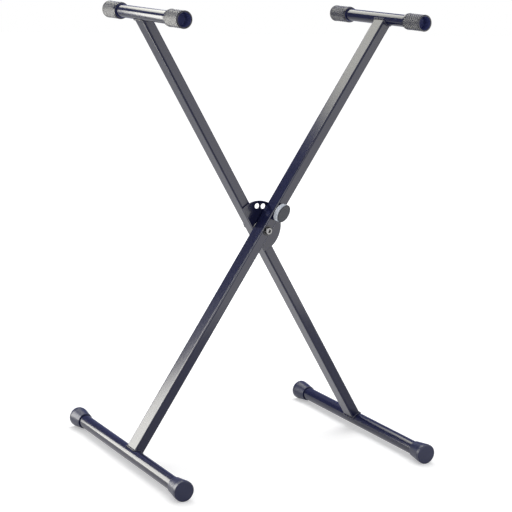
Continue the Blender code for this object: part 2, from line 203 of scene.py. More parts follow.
paintLook = {
    "dark": (0.006, 0.008, 0.034), "light": (0.010, 0.012, 0.050), "patchScale": 14.0, "speckScale": 420.0,
    "grainScale": 900.0, "rough": 0.165, "roughPatches": 0.05, "roughSpecks": 0.04,
    "bumpStrength": 0.15, "bumpDepth": 0.00003,
}
# the grip's second colour is a painted navy shade inside the cups
gripLook = {
    "dark": (0.007, 0.008, 0.022), "light": (0.013, 0.014, 0.032), "patchScale": 60.0, "speckScale": 900.0,
    "grainScale": 2600.0, "rough": 0.22, "roughPatches": 0.08, "roughSpecks": 0.08,
    "bumpStrength": 0.20, "bumpDepth": 0.00003, "marked": (0.055, 0.065, 0.21), "markedRough": 0.35,
}
footLook = {
    "dark": (0.006, 0.009, 0.042), "light": (0.010, 0.014, 0.060), "patchScale": 40.0, "speckScale": 700.0,
    "grainScale": 2200.0, "rough": 0.34, "roughPatches": 0.10, "roughSpecks": 0.08,
    "bumpStrength": 0.30, "bumpDepth": 0.00004,
}
# the knob's second colour is a painted pale highlight on its ribbed flank
knobLook = {
    "dark": (0.020, 0.024, 0.038), "light": (0.032, 0.036, 0.054), "patchScale": 50.0, "speckScale": 800.0,
    "grainScale": 1900.0, "rough": 0.28, "roughPatches": 0.10, "roughSpecks": 0.10,
    "bumpStrength": 0.30, "bumpDepth": 0.00004, "marked": (0.52, 0.56, 0.64), "markedRough": 0.05,
}
zincLook = {
    "dark": (0.10, 0.10, 0.105), "light": (0.15, 0.15, 0.155), "patchScale": 160.0, "speckScale": 900.0,
    "grainScale": 1500.0, "rough": 0.18, "roughPatches": 0.10, "roughSpecks": 0.08,
    "bumpStrength": 0.25, "bumpDepth": 0.00003,
}
oxideLook = {
    "dark": (0.010, 0.011, 0.018), "light": (0.020, 0.021, 0.030), "patchScale": 140.0, "speckScale": 900.0,
    "grainScale": 1500.0, "rough": 0.24, "roughPatches": 0.10, "roughSpecks": 0.08,
    "bumpStrength": 0.25, "bumpDepth": 0.00003,
}
steelLook = {
    "dark": (0.38, 0.39, 0.40), "light": (0.56, 0.56, 0.57), "patchScale": 120.0, "speckScale": 700.0,
    "grainScale": 1800.0, "rough": 0.34, "roughPatches": 0.16, "roughSpecks": 0.14,
    "bumpStrength": 0.35, "bumpDepth": 0.00004,
}
nylonLook = {
    "dark": (0.52, 0.52, 0.50), "light": (0.64, 0.64, 0.61), "patchScale": 90.0, "speckScale": 600.0,
    "grainScale": 1600.0, "rough": 0.50, "roughPatches": 0.10, "roughSpecks": 0.08,
    "bumpStrength": 0.25, "bumpDepth": 0.00004,
}
blackPaint = surface("blackPaint", paintLook, {"IOR": 1.42})
gripRubber = surface("gripRubber", gripLook, {"IOR": 1.45})
footRubber = surface("footRubber", footLook, {"IOR": 1.42})
knobPlastic = surface("knobPlastic", knobLook, {"IOR": 1.35})
blackZinc = surface("blackZinc", zincLook, {"Metallic": 1.0})
blackOxide = surface("blackOxide", oxideLook, {"IOR": 1.42})
plainSteel = surface("plainSteel", steelLook, {"Metallic": 1.0})
nylon = surface("nylonWasher", nylonLook, {"IOR": 1.5})
print("stage: finishes")


# shared ways of making a mesh

def filleted(corners, closed, steps=5):
    # each corner is (along, out, fillet radius); the result is a list of (along, out)
    points = []
    count = len(corners)
    for i, (a, b, radius) in enumerate(corners):
        atEnd = not closed and i in (0, count - 1)
        if radius == 0 or atEnd:
            points.append(Vector((a, b)))
            continue
        here = Vector((a, b))
        before = Vector(corners[i - 1][:2])
        after = Vector(corners[(i + 1) % count][:2])
        inward, onward = (before - here).normalized(), (after - here).normalized()
        angle = inward.angle(onward)
        reach = radius / math.tan(angle / 2)
        centre = here + (inward + onward).normalized() * (radius / math.sin(angle / 2))
        start, end = here + inward * reach - centre, here + onward * reach - centre
        sweep = start.angle_signed(end)
        for k in range(steps + 1):
            points.append(centre + Matrix.Rotation(-sweep * k / steps, 2) @ start)
    return [(p.x, p.y) for p in points]


def finishMesh(work, name, smoothAngle=35.0):
    bmesh.ops.remove_doubles(work, verts=work.verts, dist=0.000002)
    bmesh.ops.recalc_face_normals(work, faces=work.faces)
    mesh = bpy.data.meshes.new(name)
    work.to_mesh(mesh)
    work.free()
    mesh.shade_smooth()
    mesh.set_sharp_from_angle(angle=math.radians(smoothAngle))
    return mesh


def skin(work, rings, closed):
    # faces between each ring of points and the next; a ring of one point is a pole
    pairs = list(zip(rings, rings[1:]))
    if closed:
        pairs.append((rings[-1], rings[0]))
    for first, second in pairs:
        count = max(len(first), len(second))
        for i in range(count):
            k = (i + 1) % count
            loop = [first[i % len(first)], first[k % len(first)], second[k % len(second)], second[i % len(second)]]
            corners = list(dict.fromkeys(loop))
            if len(corners) > 2:
                work.faces.new(corners)


def turnedMesh(name, profile, centre, segments, closed):
    # profile points are (y, radius) about the axis through centre along Y
    work = bmesh.new()
    rings = []
    for y, radius in profile:
        if radius < 0.000001:
            rings.append([work.verts.new((centre.x, y, centre.z))])
            continue
        ring = []
        for i in range(segments):
            angle = 2 * math.pi * i / segments
            ring.append(work.verts.new((centre.x + radius * math.sin(angle), y, centre.z + radius * math.cos(angle))))
        rings.append(ring)
    skin(work, rings, closed)
    return finishMesh(work, name)


def addObject(name, mesh):
    made = bpy.data.objects.new(name, mesh)
    bpy.context.scene.collection.objects.link(made)
    return made


def evaluated(made):
    bpy.context.view_layer.update()
    graph = bpy.context.evaluated_depsgraph_get()
    mesh = bpy.data.meshes.new_from_object(made.evaluated_get(graph))
    made.modifiers.clear()
    made.data = mesh
    return made


def carve(made, other, operation):
    step = made.modifiers.new("carve", "BOOLEAN")
    step.operation = operation
    step.solver = "EXACT"
    step.object = other
    evaluated(made)
    bpy.data.objects.remove(other, do_unlink=True)
    made.data.shade_smooth()
    made.data.set_sharp_from_angle(angle=math.radians(35))
    return made


def even(made):
    # normals weighted by face area, so that a long face isn't shaded by its narrow rounded edge
    made.modifiers.new("even", "WEIGHTED_NORMAL").keep_sharp = True
    return made


def paintShadeAndHighlight(made, test):
    # points that pass the test take the look's second colour, which is painted light: a painted navy shade inside the
    # grip cups, a painted highlight on the knob's ribbed flank
    values = [1.0 if test(vertex.co) else 0.0 for vertex in made.data.vertices]
    made.data.attributes.new("marked", "FLOAT", "POINT").data.foreach_set("value", values)
    return made


def settle(made, material, body, slot, *replaced):
    made.data.materials.clear()
    made.data.materials.append(material)
    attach(made, body)
    if replaced:
        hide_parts(*replaced)
    return made


def sign(value):
    return 1 if value > 0 else -1


# Geometry Nodes: a tree with named inputs, and its use on one piece

def geometryTree(name, inputs):
    tree = bpy.data.node_groups.new(name, "GeometryNodeTree")
    face = tree.interface
    face.new_socket("Geometry", in_out="INPUT", socket_type="NodeSocketGeometry")
    face.new_socket("Geometry", in_out="OUTPUT", socket_type="NodeSocketGeometry")
    for label, kind in inputs.items():
        face.new_socket(label, in_out="INPUT", socket_type="NodeSocket" + kind)
    board = Board(tree)
    start = board.add("NodeGroupInput")
    end = tree.nodes.new("NodeGroupOutput")
    return board, start, end


def applyTree(made, board, values):
    modifier = made.modifiers.new("rule", "NODES")
    modifier.node_group = board.tree
    for item in board.tree.interface.items_tree:
        if item.in_out == "INPUT" and item.name in values:
            modifier[item.identifier] = values[item.name]
    evaluated(made)
    return made


def polar(board, start):
    # angle round the piece's own axis, and the place along it
    split = board.add("ShaderNodeSeparateXYZ", None, {0: board.add("GeometryNodeInputPosition")[0]})
    centre = board.add("ShaderNodeSeparateXYZ", None, {0: start["Centre"]})
    x, z = split["X"] - centre["X"], split["Z"] - centre["Z"]
    radius = (x * x + z * z) ** 0.5
    return x.do("ARCTAN2", x, z), split["Y"], radius, x, z


def shiftOut(board, start, end, x, z, radius, amount):
    outward = board.add("ShaderNodeCombineXYZ", None, {"X": x / radius * amount, "Z": z / radius * amount})[0]
    moved = board.add("GeometryNodeSetPosition", None, {"Geometry": start["Geometry"], "Offset": outward})[0]
    real = board.add("GeometryNodeRealizeInstances", None, {0: moved})[0]
    coloured = board.add("GeometryNodeSetMaterial", None, {"Geometry": real, "Material": start["Material"]})[0]
    board.tree.links.new(coloured.socket, end.inputs["Geometry"])


knurlInputs = {
    "Centre": "Vector", "Around": "Float", "Along pitch": "Float", "Depth": "Float", "Flatness": "Float",
    "Low": "Float", "High": "Float", "Least radius": "Float", "Material": "Material",
}


def knurlTree():
    board, start, end = geometryTree("diamondKnurl", knurlInputs)
    angle, along, radius, x, z = polar(board, start)
    turn = angle * start["Around"] / (2 * math.pi)
    climb = along / start["Along pitch"]
    first = abs((turn + climb).do("FRACT", turn + climb) - 0.5)
    second = abs((turn - climb).do("FRACT", turn - climb) - 0.5)
    raised = 1 - (first.do("MAXIMUM", first, second) * 2) ** start["Flatness"]
    band = along.between(start["Low"], start["High"]) * radius.do("GREATER_THAN", radius, start["Least radius"])
    shiftOut(board, start, end, x, z, radius, (raised - 1) * start["Depth"] * band)
    return board


ribInputs = {
    "Half width": "Float", "Half length": "Float", "Evenness": "Float", "Ribs": "Float", "Depth": "Float",
    "Low": "Float", "High": "Float", "Rim share": "Float", "Material": "Material",
}


def ribTree():
    # x and z are shares of the oval's half width and half length, so the rim lies where x² + z² is 1
    board, start, end = geometryTree("knobRibs", ribInputs)
    split = board.add("ShaderNodeSeparateXYZ", None, {0: board.add("GeometryNodeInputPosition")[0]})
    x, z = split["X"] / start["Half width"], split["Z"] / start["Half length"]
    turn = x.do("ARCTAN2", x, z)
    even = turn - start["Evenness"] * turn.do("SINE", turn * 2)
    wave = even.do("COSINE", even * start["Ribs"]) * 0.5 + 0.5
    groove = 1 - wave ** 0.6
    outside = x * x + z * z
    rim = split["Y"].between(start["Low"], start["High"]) * outside.do("GREATER_THAN", outside, start["Rim share"])
    outX, outZ = x / start["Half width"], z / start["Half length"]
    length = (outX * outX + outZ * outZ) ** 0.5
    shiftOut(board, start, end, outX, outZ, length, groove * rim * start["Depth"] * -1)
    return board


weldInputs = {
    "Bead radius": "Float", "Ripple spacing": "Float", "Ripple height": "Float", "Seed": "Int", "Material": "Material",
}


def weldTree():
    board, start, end = geometryTree("weldRipples", weldInputs)
    path = board.add("GeometryNodeMeshToCurve", None, {0: start["Geometry"]})[0]
    even = board.add("GeometryNodeResampleCurve", {"mode": "LENGTH"}, {"Curve": path, "Length": start["Ripple spacing"]})
    tangent = board.add("GeometryNodeInputTangent")[0]
    turned = board.add("FunctionNodeAlignRotationToVector", {"axis": "Z"}, {"Vector": tangent})[0]
    wobble = board.add(
        "FunctionNodeRandomValue", {"data_type": "FLOAT"}, {2: 0.88, 3: 1.12, "Seed": start["Seed"]}
    )[1]
    ball = board.add("GeometryNodeMeshUVSphere", None, {"Segments": 14, "Rings": 8, "Radius": 1.0})[0]
    wide = start["Bead radius"] * start["Ripple height"] * wobble
    size = board.add("ShaderNodeCombineXYZ", None, {"X": wide, "Y": wide, "Z": start["Ripple spacing"] * 0.95})[0]
    ripples = board.add(
        "GeometryNodeInstanceOnPoints", None,
        {"Points": even[0], "Instance": ball, "Rotation": turned, "Scale": size},
    )[0]
    ring = board.add(
        "GeometryNodeCurvePrimitiveCircle", {"mode": "RADIUS"}, {"Resolution": 14, "Radius": start["Bead radius"]}
    )[0]
    core = board.add("GeometryNodeCurveToMesh", None, {"Curve": even[0], "Profile Curve": ring})[0]
    joined = board.tree.nodes.new("GeometryNodeJoinGeometry")
    for piece in (core, board.add("GeometryNodeRealizeInstances", None, {0: ripples})[0]):
        board.tree.links.new(piece.socket, joined.inputs[0])
    smooth = board.add("GeometryNodeSetShadeSmooth", None, {0: Wire(board, joined.outputs[0])})[0]
    coloured = board.add("GeometryNodeSetMaterial", None, {"Geometry": smooth, "Material": start["Material"]})[0]
    board.tree.links.new(coloured.socket, end.inputs["Geometry"])
    return board


diamondKnurl, knobRibs, weldRipples = knurlTree(), ribTree(), weldTree()
print("stage: node trees")


# legs: a rounded rectangular tube, coped to its bars, with a weld bead at each end

leg = {
    "width": 0.020, "corner": 0.0032, "wall": 0.0012, "cornerSteps": 7, "housingHole": 0.0081, "margin": 0.004,
    "holeSteps": 48,
}
weld = {"radius": 0.0016, "offset": 0.0006, "spacing": 0.0016, "height": 1.25}


class LegFrame:    # a leg's own axes: across it in the fold's plane, along Y, and up it
    def __init__(self, side):
        self.side = side
        self.body = side + "_frame"
        top, foot = middle(side + "_top_bar"), middle(side + "_foot_bar")
        self.up = (top - foot).normalized()
        self.across = Vector((0, 1, 0)).cross(self.up)
        self.y = middle(side + "_pivot_bush").y
        self.depth = 2 * half(side + "_pivot_bush").y
        self.ends = {
            "top": ((top - pivot).length, half(side + "_top_bar").z, 1),
            "foot": ((foot - pivot).length, half(side + "_foot_bar").z, -1),
        }

    def at(self, x, y, z):
        flat = Vector((pivot.x, self.y + y, pivot.z))
        return flat + self.across * x + self.up * z

    def copeHeight(self, end, x, clearance):
        reach, radius, way = self.ends[end]
        return way * (reach - math.sqrt((radius + clearance) ** 2 - x ** 2))


def sectionOutline(width, depth, corner):
    corners = [(sx * width / 2, sy * depth / 2, corner) for sx, sy in ((1, 1), (-1, 1), (-1, -1), (1, -1))]
    return filleted(corners, True, leg["cornerSteps"])


def divided(loop, longest=0.0012):
    points = []
    for (ax, ay), (bx, by) in zip(loop, loop[1:] + loop[:1]):
        count = max(1, round(math.hypot(bx - ax, by - ay) / longest))
        points += [(ax + (bx - ax) * i / count, ay + (by - ay) * i / count) for i in range(count)]
    return points


def legMesh(place):
    work = bmesh.new()
    rings = []
    for inset, end in ((0.0, "foot"), (0.0, "top"), (leg["wall"], "top"), (leg["wall"], "foot")):
        outline = divided(
            sectionOutline(leg["width"] - 2 * inset, place.depth - 2 * inset, leg["corner"] - inset), 0.002
        )
        rings.append([work.verts.new(place.at(x, y, place.copeHeight(end, x, gap))) for x, y in outline])
    skin(work, rings, True)
    return finishMesh(work, place.side + "Leg")


def holeTool(node, radius):
    low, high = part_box(node)
    first, last = low.y - leg["margin"], high.y + leg["margin"]
    profile = [(first, 0.0), (first, radius), (last, radius), (last, 0.0)]
    return addObject("holeTool", turnedMesh("holeTool", profile, middle(node), leg["holeSteps"], False))


def makeLeg(place):
    made = addObject(place.side + "Leg", legMesh(place))
    bush = place.side + "_pivot_bush"
    carve(made, holeTool(bush, half(bush).z + gap), "DIFFERENCE")
    if place.side == "front":
        carve(made, holeTool("pin_housing", leg["housingHole"]), "DIFFERENCE")
    settle(even(made), blackPaint, place.body, "black_paint", place.side + "_leg")


def makeWelds(place):
    # one bead round each end, a path on the bar's surface that the ripples follow
    for number, end in enumerate(("top", "foot")):
        offset = weld["offset"]
        outline = divided(sectionOutline(
            leg["width"] + 2 * offset, place.depth + 2 * offset, leg["corner"] + offset
        ))
        path = bpy.data.meshes.new("weldPath")
        points = [place.at(x, y, place.copeHeight(end, x, offset)) for x, y in outline]
        count = len(points)
        path.from_pydata(points, [(i, (i + 1) % count) for i in range(count)], [])
        made = addObject(place.side + end.capitalize() + "Weld", path)
        applyTree(made, weldRipples, {
            "Bead radius": weld["radius"], "Ripple spacing": weld["spacing"], "Ripple height": weld["height"],
            "Seed": number + 3, "Material": blackPaint,
        })
        settle(made, blackPaint, place.body, "black_paint")


legFrames = {side: LegFrame(side) for side in ("rear", "front")}
for place in legFrames.values():
    makeLeg(place)
    makeWelds(place)
print("stage: legs")


# round bars

bar = {"wall": 0.0012, "edge": 0.0003, "segments": 96}


def makeBar(side, end):
    node = f"{side}_{end}_bar"
    low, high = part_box(node)
    radius = half(node).z
    edge = bar["edge"]
    corners = [
        (low.y, radius - bar["wall"], edge), (low.y, radius, edge), (high.y, radius, edge),
        (high.y, radius - bar["wall"], edge),
    ]
    mesh = turnedMesh(node, filleted(corners, True, 3), middle(node), bar["segments"], True)
    settle(even(addObject(side + end.capitalize() + "Bar", mesh)), blackPaint, side + "_frame", "black_paint", node)


for side in legFrames:
    for end in ("top", "foot"):
        makeBar(side, end)
print("stage: bars")


# knurled grip sleeves and flared feet

grip = {
    "radius": 0.0162, "band": 0.0156, "bandLength": 0.0040, "bandEdge": 0.0011, "cup": 0.0125, "cupDepth": 0.020,
    "cupTaper": 0.0006, "wall": 0.004, "edge": 0.0010, "around": 24.0, "pitch": 0.0068, "depth": 0.0009,
    "flatness": 1.4,
    "margin": 0.0016, "segments": 312, "knurlRings": 116,
}
foot = {
    "inner": 0.0158, "outer": 0.0198, "rim": 0.0080, "wall": 0.005, "edge": 0.0020, "lip": 0.0010, "soft": 0.004,
    "segments": 128,
}


def gripProfile(length, bore):
    g = grip
    floor = length - g["cupDepth"]
    outside = [
        (0.0, bore, 0.0), (0.0, g["band"], g["bandEdge"]), (g["bandLength"], g["band"], 0.0002),
        (g["bandLength"], g["radius"], 0.0003), (length, g["radius"], g["edge"]),
        (length, g["cup"] + g["cupTaper"], 0.0006), (floor, g["cup"] - g["cupTaper"], 0.0008), (floor, 0.0, 0.0),
        (floor - g["wall"], 0.0, 0.0), (floor - g["wall"], bore, 0.0),
    ]
    return withRings(filleted(outside, True, 4), g["knurlRings"], g["radius"])


def withRings(profile, count, radius):
    # the long outer stretch is divided, so that the knurl has a fine mesh to work on
    points = []
    for (a, b), (c, d) in zip(profile, profile[1:] + profile[:1]):
        points.append((a, b))
        if abs(b - radius) < 0.000001 and abs(d - radius) < 0.000001 and c - a > 0.02:
            points += [(a + (c - a) * i / count, b) for i in range(1, count)]
    return points


def makeGrip(side, word, way):
    node = f"{side}_grip_cap_{word}"
    low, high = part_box(node)
    centre = middle(node)
    start, length = (high.y, high.y - low.y) if way == nearEnd else (low.y, high.y - low.y)
    bore = half(side + "_top_bar").z + gap
    profile = [(start + way * along, radius) for along, radius in gripProfile(length, bore)]
    made = addObject(side + word.capitalize() + "Grip", turnedMesh(node, profile, centre, grip["segments"], True))
    # the inside of the cup is painted a navy shade
    paintShadeAndHighlight(made, lambda p: math.hypot(p.x - centre.x, p.z - centre.z) < grip["cup"] + grip["cupTaper"])
    first, last = start + way * (grip["bandLength"] + grip["margin"]), start + way * (length - grip["margin"])
    applyTree(made, diamondKnurl, {
        "Centre": tuple(centre), "Around": grip["around"], "Along pitch": grip["pitch"], "Depth": grip["depth"],
        "Flatness": grip["flatness"],
        "Low": min(first, last), "High": max(first, last), "Least radius": grip["radius"] - 0.0004,
        "Material": gripRubber,
    })
    settle(made, gripRubber, side + "_frame", "grip_rubber", node)


def makeFoot(side, word, way):
    node = f"{side}_foot_cap_{word}"
    low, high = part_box(node)
    f, length = foot, high.y - low.y
    start = high.y if way == nearEnd else low.y
    bore = half(side + "_foot_bar").z + gap
    corners = [
        (0.0, bore, 0.0), (0.0, f["inner"], f["lip"] / 2), (f["lip"], f["inner"], f["lip"] / 2),
        (length - f["rim"], f["outer"], f["soft"]), (length, f["outer"], f["edge"]), (length, 0.0, 0.0),
        (length - f["wall"], 0.0, 0.0), (length - f["wall"], bore, 0.0),
    ]
    profile = [(start + way * along, radius) for along, radius in filleted(corners, True, 5)]
    made = addObject(side + word.capitalize() + "Foot", turnedMesh(node, profile, middle(node), f["segments"], True))
    settle(even(made), footRubber, side + "_frame", "foot_rubber", node)


for side in legFrames:
    for word, way in (("near", nearEnd), ("far", farEnd)):
        makeGrip(side, word, way)
        makeFoot(side, word, way)
print("stage: grips and feet")


# lock plate: a disc about the pivot, cut flush along the rear leg, with its arc of holes

plate = {
    "radius": 0.0527, "holeCircle": 0.0425, "hole": 0.0055, "boltHole": 0.0043, "step": 18.5, "first": 27.2,
    "count": 5, "edge": 0.0004, "arcSteps": 120, "holeSteps": 48,
}


def arc(centre, radius, start, sweep, steps):
    angles = [start + sweep * i / steps for i in range(steps)]
    return [(centre[0] + radius * math.cos(a), centre[1] + radius * math.sin(a)) for a in angles]


def makePlate():
    place = legFrames["rear"]
    low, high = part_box("lock_plate")
    reach = math.acos(-leg["width"] / 2 / plate["radius"])
    steps = plate["arcSteps"]
    loops = [arc((0.0, 0.0), plate["radius"], reach, -2 * reach * (steps + 1) / steps, steps + 1)]
    loops.append(arc((0.0, 0.0), plate["boltHole"], 0.0, 2 * math.pi, plate["holeSteps"]))
    for number in range(plate["count"]):
        angle = math.radians(plate["first"] + number * plate["step"])
        centre = (plate["holeCircle"] * math.sin(angle), plate["holeCircle"] * math.cos(angle))
        loops.append(arc(centre, plate["hole"], 0.0, 2 * math.pi, plate["holeSteps"]))
    curve = bpy.data.curves.new("plateOutline", "CURVE")
    curve.dimensions, curve.fill_mode = "2D", "BOTH"
    curve.extrude = (high.y - low.y) / 2 - plate["edge"]
    curve.bevel_depth, curve.bevel_resolution, curve.offset = plate["edge"], 2, -plate["edge"]
    for loop in loops:
        spline = curve.splines.new("POLY")
        spline.points.add(len(loop) - 1)
        for point, (x, z) in zip(spline.points, loop):
            point.co = (x, z, 0.0, 1.0)
        spline.use_cyclic_u = True
    flat = addObject("plateOutline", curve)
    bpy.context.view_layer.update()
    mesh = bpy.data.meshes.new_from_object(flat.evaluated_get(bpy.context.evaluated_depsgraph_get()))
    bpy.data.objects.remove(flat, do_unlink=True)
    work = bmesh.new()
    work.from_mesh(mesh)
    middleY = (low.y + high.y) / 2 - place.y
    for vertex in work.verts:
        x, z, y = vertex.co
        vertex.co = place.at(x, middleY - y, z)
    made = addObject("lockPlate", finishMesh(work, "lockPlate"))
    settle(even(made), blackPaint, "rear_frame", "black_paint", "lock_plate")


makePlate()
print("stage: lock plate")


# pivot: hexagon bolt, washers and a collared nut

bolt = {
    "shank": 0.0040, "bore": 0.0043, "tip": 0.0006, "turn": 0.2, "chamferHeight": 0.0016, "chamferShare": 0.94,
    "crown": 0.0005, "collar": 0.0056, "collarLength": 0.0022, "collarEdge": 0.0008, "overlap": 0.001,
    "washerEdge": 0.0004, "segments": 96, "socket": 0.0041, "socketDepth": 0.0036,
}


def hexPrism(centre, y0, y1, radius):
    work = bmesh.new()
    rings = []
    for y in (y0, y1):
        corners = arc((centre.x, centre.z), radius, bolt["turn"], 2 * math.pi, 6)
        rings.append([work.verts.new((x, y, z)) for x, z in corners])
    work.faces.new(rings[0])
    work.faces.new(rings[1])
    skin(work, rings, False)
    return finishMesh(work, "hexPrism")


def hexHead(name, centre, seat, top, radius):
    # a hexagon whose outer corners are turned off, as on a forged head
    way = sign(top - seat)
    made = addObject(name, hexPrism(centre, seat, top, radius))
    flats = radius * math.cos(math.pi / 6)
    clear = radius * 1.1
    profile = [
        (seat - way * bolt["overlap"], 0.0), (seat - way * bolt["overlap"], clear),
        (top - way * bolt["chamferHeight"], clear), (top, flats * bolt["chamferShare"]),
        (top + way * bolt["crown"], 0.0),
    ]
    lens = addObject("lens", turnedMesh("lens", profile, centre, bolt["segments"], False))
    return carve(made, lens, "INTERSECT")


def turnedRod(name, centre, start, end, radius, edge):
    corners = [(start, 0.0, 0.0), (start, radius, 0.0), (end, radius, edge), (end, 0.0, 0.0)]
    return addObject(name, turnedMesh(name, filleted(corners, False, 4), centre, bolt["segments"], False))


def makePivot():
    centre = middle("pivot_bolt")
    low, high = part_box("pivot_bolt")
    headRadius = half("pivot_bolt").x
    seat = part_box("pivot_bolt_washer")[0].y - gap
    head = hexHead("pivotBolt", centre, seat, low.y, headRadius)
    rod = turnedRod("rod", centre, seat - bolt["overlap"], high.y, bolt["shank"], bolt["tip"])
    carve(head, rod, "UNION")
    socket = hexPrism(centre, low.y - bolt["overlap"], low.y + bolt["socketDepth"], bolt["socket"])
    carve(head, addObject("socket", socket), "DIFFERENCE")
    settle(even(head), blackZinc, "rear_frame", "black_zinc", "pivot_bolt")
    nutLow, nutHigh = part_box("pivot_nut")
    shoulder = nutHigh.y - bolt["collarLength"]
    nut = hexHead("pivotNut", centre, nutLow.y, shoulder, headRadius)
    collar = turnedRod("collar", centre, shoulder - bolt["overlap"], nutHigh.y, bolt["collar"], bolt["collarEdge"])
    carve(nut, collar, "UNION")
    bore = turnedRod("bore", centre, nutLow.y - bolt["overlap"], nutHigh.y + bolt["overlap"], bolt["bore"], 0.0)
    carve(nut, bore, "DIFFERENCE")
    settle(even(nut), blackZinc, "rear_frame", "black_zinc", "pivot_nut")
    makeWasher("pivot_bolt_washer", "boltWasher", blackOxide, "black_zinc")
    makeWasher("pivot_nut_washer", "nutWasher", blackOxide, "black_zinc")
    makeWasher("friction_washer", "slipWasher", nylon, "nylon")


def makeWasher(node, name, material, slot):
    low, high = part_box(node)
    radius, edge = half(node).z, min(bolt["washerEdge"], (high.y - low.y) / 4)
    bore = bolt["bore"]
    corners = [(low.y, bore, edge), (low.y, radius, edge), (high.y, radius, edge), (high.y, bore, edge)]
    mesh = turnedMesh(node, filleted(corners, True, 3), middle(node), bolt["segments"], True)
    settle(even(addObject(name, mesh)), material, "rear_frame", slot, node)


makePivot()
print("stage: pivot")


# lock pin, its housing and spring, and the oval pull knob

lock = {
    "housing": 0.0078, "bore": 0.0055, "shankBore": 0.0029, "endWall": 0.004, "flangeLength": 0.003, "nose": 0.0052,
    "noseLength": 0.012, "shank": 0.0026,
}
spring = {"wire": 0.0005, "turns": 7, "stepsPerTurn": 32}
knob = {
    "halfLength": 0.0184, "halfWidth": 0.0113, "wall": 0.0028, "recessDepth": 0.006, "frontWall": 0.004,
    "edge": 0.0011, "backEdge": 0.0007, "rim": 0.0017, "dish": 0.0004, "soft": 0.0003, "slotStart": 0.0018,
    "slotEnd": 0.0034, "slotDepth": 0.0012, "flankShare": 0.80, "ribs": 36, "depth": 0.0008, "ribMargin": 0.0005,
    "rimShare": 0.745, "stepsPerRib": 12,
}


def makeHousing():
    low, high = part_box("pin_housing")
    flange = half("pin_housing").z
    inner = low.y + lock["flangeLength"]
    wall = inner + gap + lock["endWall"]
    corners = [
        (high.y, lock["bore"], 0.0003), (high.y, lock["housing"], 0.0003), (inner, lock["housing"], 0.0),
        (inner, flange, 0.0003), (low.y, flange, 0.0008), (low.y, lock["shankBore"], 0.0004),
        (wall, lock["shankBore"], 0.0), (wall, lock["bore"], 0.0),
    ]
    mesh = turnedMesh("pin_housing", filleted(corners, True, 4), middle("pin_housing"), 96, True)
    settle(even(addObject("pinHousing", mesh)), blackOxide, "front_frame", "black_zinc", "pin_housing")


def makePin():
    low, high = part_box("lock_pin")
    shoulder = high.y - lock["noseLength"]
    corners = [
        (high.y, 0.0, 0.0), (high.y, lock["nose"], 0.0012), (shoulder, lock["nose"], 0.0003),
        (shoulder, lock["shank"], 0.0), (low.y, lock["shank"], 0.0003), (low.y, 0.0, 0.0),
    ]
    mesh = turnedMesh("lock_pin", filleted(corners, False, 4), middle("lock_pin"), 64, False)
    settle(even(addObject("lockPin", mesh)), plainSteel, "pull_pin", "plain_steel", "lock_pin")


def makeSpring():
    # rides with the housing
    low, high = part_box("pin_spring")
    centre, wire = middle("pin_spring"), spring["wire"]
    radius = half("pin_spring").z - wire
    steps = spring["turns"] * spring["stepsPerTurn"]
    curve = bpy.data.curves.new("coil", "CURVE")
    curve.dimensions, curve.bevel_depth, curve.bevel_resolution, curve.use_fill_caps = "3D", wire, 3, True
    coil = curve.splines.new("POLY")
    coil.points.add(steps)
    for i, point in enumerate(coil.points):
        angle = 2 * math.pi * i / spring["stepsPerTurn"]
        y = high.y - wire - (high.y - low.y - 2 * wire) * i / steps
        point.co = (centre.x + radius * math.sin(angle), y, centre.z + radius * math.cos(angle), 1.0)
    wound = addObject("coil", curve)
    bpy.context.view_layer.update()
    work = bmesh.new()
    work.from_mesh(bpy.data.meshes.new_from_object(wound.evaluated_get(bpy.context.evaluated_depsgraph_get())))
    bpy.data.objects.remove(wound, do_unlink=True)
    made = addObject("pinSpring", finishMesh(work, "pinSpring"))
    settle(made, plainSteel, "front_frame", "plain_steel", "pin_spring")
    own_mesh(made)


def knobRing(work, y, inset):
    # a ring of the oval, in the knob's own axes: long along Z, and set in along its normal
    width, length = knob["halfWidth"], knob["halfLength"]
    ring = []
    steps = knob["ribs"] * knob["stepsPerRib"]
    for i in range(steps):
        turn = 2 * math.pi * i / steps
        out = Vector((math.sin(turn) / width, 0.0, math.cos(turn) / length)).normalized()
        ring.append(work.verts.new(Vector((width * math.sin(turn), y, length * math.cos(turn))) - out * inset))
    return ring


def roundRing(work, y, radius):
    steps = knob["ribs"] * knob["stepsPerRib"]
    angles = [2 * math.pi * i / steps for i in range(steps)]
    return [work.verts.new((radius * math.sin(a), y, radius * math.cos(a))) for a in angles]


